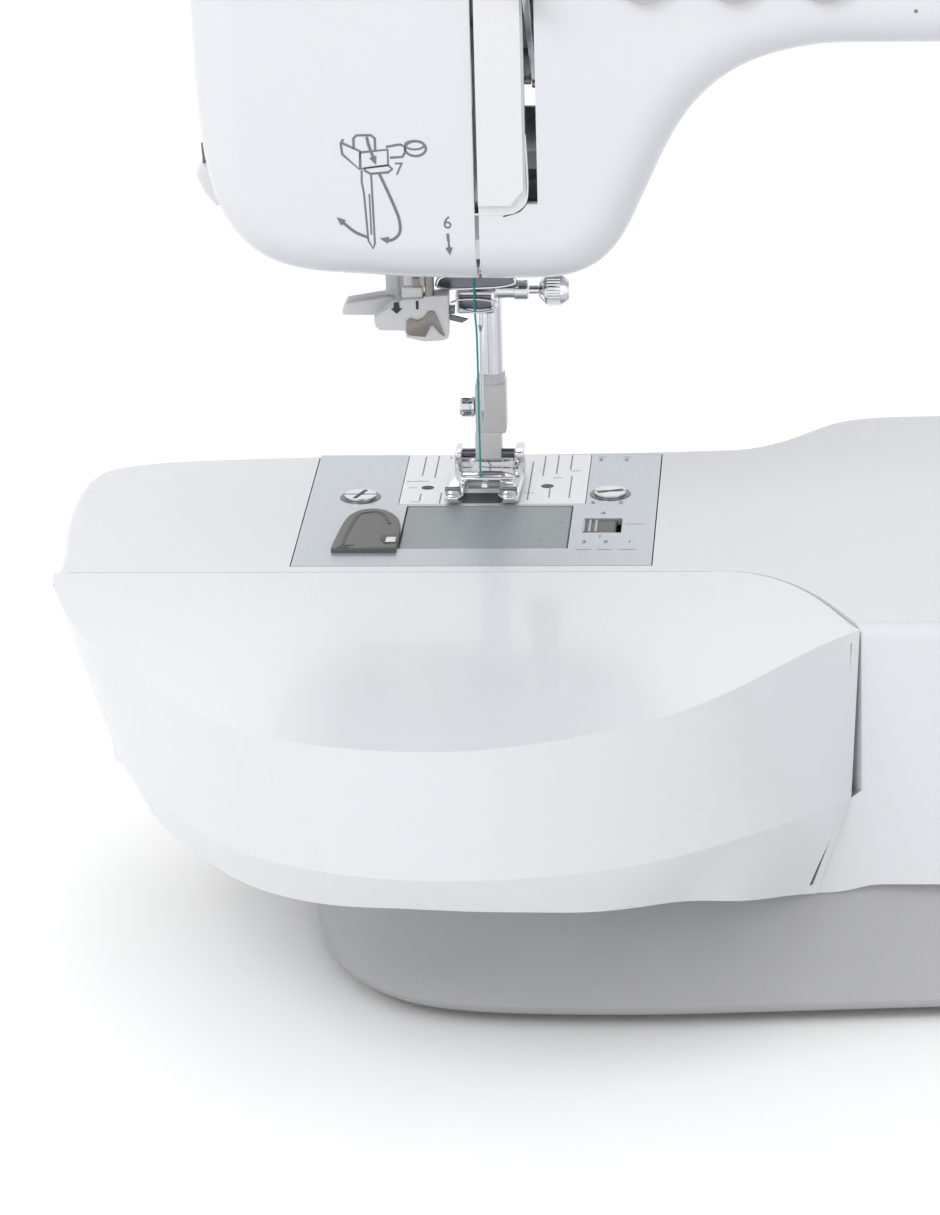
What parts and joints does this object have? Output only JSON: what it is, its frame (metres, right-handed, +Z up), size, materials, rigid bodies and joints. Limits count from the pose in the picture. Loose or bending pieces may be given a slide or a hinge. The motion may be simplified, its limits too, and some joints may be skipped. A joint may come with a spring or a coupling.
{
  "type": "sewing machine",
  "caption": "Free-arm household sewing machine with a curved slide-off extension table, grey base, metal needle plate, clear bobbin cover, top lid and folding handle.",
  "frame": {"origin": "centre of the machine's footprint box, on the surface its rubber feet stand on", "axes": "+X from the head to the handwheel, +Y to the back, +Z up"},
  "size_m": [0.4516, 0.2397, 0.3],
  "materials": {
    "white_plastic": "satin",
    "grey_plastic": "satin",
    "black_plastic": "satin",
    "rubber": "matte",
    "cast_metal": "cast",
    "steel": "ground",
    "chrome": "polished",
    "satin_plate": "satin",
    "bronze": "sintered",
    "belt_rubber": "matte",
    "clear_plastic": "clear",
    "teal_thread": "twisted",
    "screen": "gloss",
    "board": "laminate",
    "motor_metal": "satin"
  },
  "bodies": {
    "machine": {"bed_front_cover": "white_plastic", "bed_rear_cover": "white_plastic", "base_tray": "grey_plastic", "bottom_covers": "grey_plastic", "rubber_feet": "rubber", "face_cover": "white_plastic", "arm_front_cover": "white_plastic", "arm_rear_cover": "white_plastic", "frame": "cast_metal", "shaft_bushes": "bronze", "timing_belts": "belt_rubber", "motor": "motor_metal", "presser_spring": "steel", "thread_cutter": "white_plastic", "needle_plate": "satin_plate", "stitch_plate": "satin_plate", "plate_screws": "steel", "bobbin_thread_guide": "black_plastic", "bobbin_holder": "black_plastic", "top_deck": "white_plastic", "pivot_pins": "steel", "spool_cap": "white_plastic", "thread_channel_plate": "white_plastic", "display": "screen", "circuit_boards": "board", "side_sockets": "black_plastic"},
    "drive_shaft": {"crankshaft": "steel", "shaft_pulleys": "black_plastic", "handwheel": "white_plastic"},
    "connecting_rod": {"connecting_rod": "cast_metal"},
    "lower_shaft": {"lower_shaft": "steel"},
    "hook": {"hook": "steel"},
    "motor_shaft": {"motor_shaft": "steel"},
    "needle_bar": {"needle_bar": "chrome", "needle_clamp": "chrome", "needle_clamp_screw": "chrome", "needle": "steel", "needle_thread": "teal_thread"},
    "take_up_lever": {"take_up_lever": "chrome"},
    "presser_bar": {"presser_bar": "chrome", "foot_holder": "chrome"},
    "presser_foot": {"presser_foot": "chrome"},
    "lifter_lever": {"lifter_lever": "grey_plastic"},
    "feed_dog": {"feed_dog": "steel"},
    "bobbin": {"bobbin": "clear_plastic", "bobbin_thread": "teal_thread"},
    "bobbin_cover": {"bobbin_cover": "clear_plastic"},
    "release_button": {"cover_release_button": "black_plastic"},
    "buttonhole_lever": {"buttonhole_lever": "white_plastic"},
    "needle_threader": {"needle_threader": "white_plastic"},
    "extension_table": {"extension_table": "white_plastic"},
    "top_lid": {"top_lid": "white_plastic"},
    "carrying_handle": {"carrying_handle": "white_plastic"},
    "selection_dial": {"selection_dial": "grey_plastic"},
    "speed_slider": {"speed_slider": "grey_plastic"},
    "start_stop_button": {"start_stop_button": "grey_plastic"},
    "reverse_button": {"reverse_button": "grey_plastic"},
    "needle_position_button": {"needle_position_button": "grey_plastic"},
    "power_switch": {"power_switch": "black_plastic"},
    "bobbin_winder": {"bobbin_winder": "black_plastic"}
  },
  "joints": [
    {"name": "handwheel_turn", "type": "hinge", "parent": "machine", "child": "drive_shaft", "pos_m": [0.2118, 0.05875, 0.243], "axis": [1, 0, 0], "continuous": true},
    {"name": "connecting_rod_turn", "type": "hinge", "parent": "drive_shaft", "child": "connecting_rod", "pos_m": [-0.1082, 0.05875, 0.259], "axis": [1, 0, 0], "continuous": true},
    {"name": "lower_shaft_turn", "type": "hinge", "parent": "machine", "child": "lower_shaft", "pos_m": [-0.0182, 0.03275, 0.065], "axis": [1, 0, 0], "continuous": true},
    {"name": "hook_turn", "type": "hinge", "parent": "machine", "child": "hook", "pos_m": [-0.1172, 0.03275, 0.08], "axis": [0, 0, 1], "continuous": true},
    {"name": "motor_turn", "type": "hinge", "parent": "machine", "child": "motor_shaft", "pos_m": [0.1618, 0.05875, 0.062], "axis": [1, 0, 0], "continuous": true},
    {"name": "take_up_swing", "type": "hinge", "parent": "machine", "child": "take_up_lever", "pos_m": [-0.101, 0.03475, 0.22], "axis": [1, 0, 0], "range_deg": [0, 62]},
    {"name": "needle_bar_slide", "type": "slide", "parent": "machine", "child": "needle_bar", "axis": [0, 0, 1], "range_m": [-0.0321, 0.0001]},
    {"name": "lifter_swing", "type": "hinge", "parent": "machine", "child": "lifter_lever", "pos_m": [-0.1062, 0.09275, 0.188], "axis": [1, 0, 0], "range_deg": [-0.5, 75.5]},
    {"name": "presser_bar_slide", "type": "slide", "parent": "machine", "child": "presser_bar", "axis": [0, 0, 1], "range_m": [0, 0.006], "deforming": ["presser_spring"]},
    {"name": "foot_tilt", "type": "hinge", "parent": "presser_bar", "child": "presser_foot", "pos_m": [-0.1164, 0.06775, 0.107], "axis": [1, 0, 0], "range_deg": [-0.1, 8.1]},
    {"name": "feed_dog_slide", "type": "slide", "parent": "machine", "child": "feed_dog", "axis": [0, 1, 0], "range_m": [-0.002, 0.002]},
    {"name": "bobbin_spin", "type": "hinge", "parent": "machine", "child": "bobbin", "pos_m": [-0.1172, 0.03275, 0.088], "axis": [0, 0, 1], "continuous": true},
    {"name": "bobbin_cover_lift", "type": "slide", "parent": "machine", "child": "bobbin_cover", "axis": [0, 0, 1], "range_m": [0, 0.03]},
    {"name": "release_button_push", "type": "slide", "parent": "machine", "child": "release_button", "axis": [1, 0, 0], "range_m": [0, 0.003], "stiffness_N_per_m": 150},
    {"name": "buttonhole_lever_pull", "type": "slide", "parent": "machine", "child": "buttonhole_lever", "axis": [0, 0, 1], "range_m": [-0.04, 0]},
    {"name": "needle_threader_pull", "type": "slide", "parent": "machine", "child": "needle_threader", "axis": [0, 0, 1], "range_m": [-0.027, 0], "stiffness_N_per_m": 20, "springref_m": 0.01},
    {"name": "extension_table_slide", "type": "slide", "parent": "machine", "child": "extension_table", "axis": [1, 0, 0], "range_m": [-0.16, 0]},
    {"name": "top_lid_open", "type": "hinge", "parent": "machine", "child": "top_lid", "pos_m": [0.0618, 0.06435, 0.292], "axis": [-1, 0, 0], "range_deg": [0, 100]},
    {"name": "handle_raise", "type": "hinge", "parent": "machine", "child": "carrying_handle", "pos_m": [0.0598, 0.07225, 0.285], "axis": [1, 0, 0], "range_deg": [0, 90]},
    {"name": "dial_turn", "type": "hinge", "parent": "machine", "child": "selection_dial", "pos_m": [0.1468, 0.00875, 0.162], "axis": [0, 1, 0], "continuous": true},
    {"name": "speed_slide", "type": "slide", "parent": "machine", "child": "speed_slider", "axis": [1, 0, 0], "range_m": [0, 0.025]},
    {"name": "start_stop_press", "type": "slide", "parent": "machine", "child": "start_stop_button", "axis": [0, 1, 0], "range_m": [0, 0.0015], "stiffness_N_per_m": 400},
    {"name": "reverse_press", "type": "slide", "parent": "machine", "child": "reverse_button", "axis": [0, 1, 0], "range_m": [0, 0.0015], "stiffness_N_per_m": 400},
    {"name": "needle_position_press", "type": "slide", "parent": "machine", "child": "needle_position_button", "axis": [0, 1, 0], "range_m": [0, 0.0015], "stiffness_N_per_m": 400},
    {"name": "power_rock", "type": "hinge", "parent": "machine", "child": "power_switch", "pos_m": [0.205, 0.07775, 0.083], "axis": [0, 0, 1], "range_deg": [0, 8]},
    {"name": "winder_spin", "type": "hinge", "parent": "machine", "child": "bobbin_winder", "pos_m": [0.1678, 0.05075, 0.295], "axis": [0, 0, 1], "continuous": true}
  ],
  "couplings": [
    {"joint": "connecting_rod_turn", "follows": "handwheel_turn", "ratio": -1},
    {"joint": "lower_shaft_turn", "follows": "handwheel_turn", "ratio": 1},
    {"joint": "hook_turn", "follows": "handwheel_turn", "ratio": -2},
    {"joint": "motor_turn", "follows": "handwheel_turn", "ratio": 3.75},
    {"joint": "needle_bar_slide", "follows": "take_up_swing", "m_per_rad": -0.029572},
    {"joint": "lifter_swing", "follows": "presser_bar_slide", "rad_per_m": 218.17},
    {"joint": "foot_tilt", "follows": "presser_bar_slide", "rad_per_m": 23.271}
  ]
}
